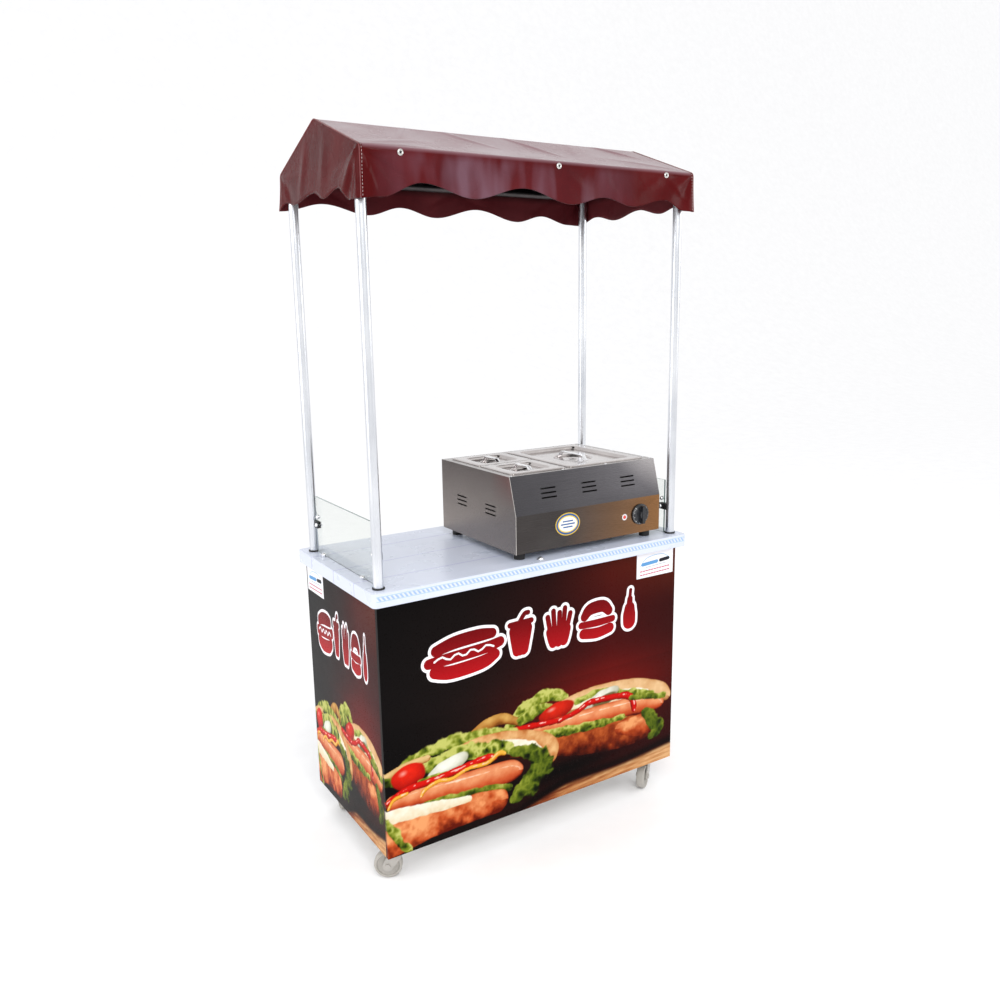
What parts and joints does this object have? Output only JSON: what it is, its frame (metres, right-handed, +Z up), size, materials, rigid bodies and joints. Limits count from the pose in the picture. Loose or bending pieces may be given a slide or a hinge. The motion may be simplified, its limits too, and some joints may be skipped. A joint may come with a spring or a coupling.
{
  "type": "push vending cart",
  "caption": "Push vending cart: printed cabinet on swivel castors, counter with glass side screens, lidded food warmer and a gabled vinyl canopy on uprights.",
  "frame": {"origin": "on the floor under the middle of the cart's bounding box", "axes": "+X to the customer's right along the counter, +Y to the operator's side, +Z up"},
  "size_m": [1, 0.52, 1.905],
  "materials": {
    "inner_board": "plain board, sealed",
    "printed_panel": "gloss printed film over board",
    "frame_steel": "painted square tube",
    "door_board": "dark laminate",
    "hinge_steel": "zinc plated",
    "black_plastic": "moulded, fine grain",
    "white_laminate": "film over white laminate",
    "chrome": "polished",
    "castor_steel": "zinc plated",
    "castor_fork": "moulded warm grey",
    "castor_wheel": "moulded warm grey, worn tread",
    "satin_aluminium": "satin anodised tube",
    "grey_fitting": "cast, bead blasted",
    "vinyl_cover": "coated burgundy vinyl, satin",
    "screw_steel": "nickel plated",
    "clear_glass": "clear, polished edge",
    "brushed_casing": "brushed stainless",
    "plain_steel": "mill stainless",
    "element_alloy": "heat tinted sheath",
    "pan_steel": "pressed stainless",
    "lid_steel": "pressed stainless, polished",
    "handle_steel": "bent strap, polished",
    "thermostat_case": "moulded",
    "knob_plastic": "moulded black, printed dial",
    "lamp_red": "clear red lens",
    "foot_rubber": "moulded"
  },
  "bodies": {
    "cart": {"base_board": "inner_board", "front_panel": "printed_panel", "left_panel": "printed_panel", "right_panel": "printed_panel", "corner_posts": "frame_steel", "frame_rails": "frame_steel", "shelf": "inner_board", "hinge_frame_leaves": "hinge_steel", "counter_top": "white_laminate", "counter_stud": "chrome", "castor_plates": "castor_steel", "poles_front": "satin_aluminium", "poles_rear": "satin_aluminium", "pole_rings": "black_plastic", "eave_tubes": "satin_aluminium", "ridge_tube": "satin_aluminium", "rafters": "satin_aluminium", "roof_fittings": "grey_fitting", "canopy_cover": "vinyl_cover", "canopy_screws": "screw_steel", "glass_left": "clear_glass", "glass_right": "clear_glass", "glass_clips": "chrome", "pole_clamps": "black_plastic", "clamp_bolts": "chrome", "warmer_shell": "brushed_casing", "warmer_floor": "plain_steel", "warmer_deck": "brushed_casing", "water_well": "plain_steel", "heating_element": "element_alloy", "thermostat_body": "thermostat_case", "lamp_bezel": "chrome", "lamp_lens": "lamp_red", "warmer_feet": "foot_rubber", "cable_gland": "black_plastic"},
    "fork_front_left": {"castor_fork_front_left": "castor_fork"},
    "wheel_front_left": {"castor_wheel_front_left": "castor_wheel"},
    "fork_front_right": {"castor_fork_front_right": "castor_fork"},
    "wheel_front_right": {"castor_wheel_front_right": "castor_wheel"},
    "fork_rear_left": {"castor_fork_rear_left": "castor_fork"},
    "wheel_rear_left": {"castor_wheel_rear_left": "castor_wheel"},
    "fork_rear_right": {"castor_fork_rear_right": "castor_fork"},
    "wheel_rear_right": {"castor_wheel_rear_right": "castor_wheel"},
    "left_door": {"door_left": "door_board", "hinge_leaves_left": "hinge_steel", "door_pull_left": "black_plastic"},
    "right_door": {"door_right": "door_board", "hinge_leaves_right": "hinge_steel", "door_pull_right": "black_plastic"},
    "pan_large": {"pan_large": "pan_steel"},
    "lid_large": {"lid_large": "lid_steel", "lid_handle_large": "handle_steel"},
    "pan_small_front": {"pan_small_front": "pan_steel"},
    "lid_small_front": {"lid_small_front": "lid_steel", "lid_handle_small_front": "handle_steel"},
    "pan_small_rear": {"pan_small_rear": "pan_steel"},
    "lid_small_rear": {"lid_small_rear": "lid_steel", "lid_handle_small_rear": "handle_steel"},
    "knob": {"knob": "knob_plastic"}
  },
  "joints": [
    {"name": "swivel_front_left", "type": "hinge", "parent": "cart", "child": "fork_front_left", "pos_m": [-0.427, -0.174, 0.083], "axis": [0, 0, 1], "continuous": true},
    {"name": "roll_front_left", "type": "hinge", "parent": "fork_front_left", "child": "wheel_front_left", "pos_m": [-0.45075, -0.15916, 0.0375], "axis": [-0.5299, -0.848, 0], "continuous": true},
    {"name": "swivel_front_right", "type": "hinge", "parent": "cart", "child": "fork_front_right", "pos_m": [0.427, -0.174, 0.083], "axis": [0, 0, 1], "continuous": true},
    {"name": "roll_front_right", "type": "hinge", "parent": "fork_front_right", "child": "wheel_front_right", "pos_m": [0.40406, -0.19006, 0.0375], "axis": [0.5736, -0.8192, 0], "continuous": true},
    {"name": "swivel_rear_left", "type": "hinge", "parent": "cart", "child": "fork_rear_left", "pos_m": [-0.427, 0.192, 0.083], "axis": [0, 0, 1], "continuous": true},
    {"name": "roll_rear_left", "type": "hinge", "parent": "fork_rear_left", "child": "wheel_rear_left", "pos_m": [-0.42214, 0.21957, 0.0375], "axis": [-0.9848, 0.1736, 0], "continuous": true},
    {"name": "swivel_rear_right", "type": "hinge", "parent": "cart", "child": "fork_rear_right", "pos_m": [0.427, 0.192, 0.083], "axis": [0, 0, 1], "continuous": true},
    {"name": "roll_rear_right", "type": "hinge", "parent": "fork_rear_right", "child": "wheel_rear_right", "pos_m": [0.441, 0.21625, 0.0375], "axis": [-0.866, 0.5, 0], "continuous": true},
    {"name": "door_left_hinge", "type": "hinge", "parent": "cart", "child": "left_door", "pos_m": [-0.4675, 0.25, 0.436], "axis": [0, 0, 1], "range_deg": [0, 110]},
    {"name": "door_right_hinge", "type": "hinge", "parent": "cart", "child": "right_door", "pos_m": [0.4675, 0.25, 0.436], "axis": [0, 0, -1], "range_deg": [0, 110]},
    {"name": "pan_large_lift", "type": "slide", "parent": "cart", "child": "pan_large", "axis": [0, 0, 1], "range_m": [0, 0.18]},
    {"name": "lid_large_lift", "type": "slide", "parent": "pan_large", "child": "lid_large", "axis": [0, 0, 1], "range_m": [0, 0.12]},
    {"name": "pan_small_front_lift", "type": "slide", "parent": "cart", "child": "pan_small_front", "axis": [0, 0, 1], "range_m": [0, 0.18]},
    {"name": "lid_small_front_lift", "type": "slide", "parent": "pan_small_front", "child": "lid_small_front", "axis": [0, 0, 1], "range_m": [0, 0.12]},
    {"name": "pan_small_rear_lift", "type": "slide", "parent": "cart", "child": "pan_small_rear", "axis": [0, 0, 1], "range_m": [0, 0.18]},
    {"name": "lid_small_rear_lift", "type": "slide", "parent": "pan_small_rear", "child": "lid_small_rear", "axis": [0, 0, 1], "range_m": [0, 0.12]},
    {"name": "knob_turn", "type": "hinge", "parent": "cart", "child": "knob", "pos_m": [0.347, -0.221, 0.886], "axis": [0, 1, 0], "range_deg": [0, 270]}
  ]
}
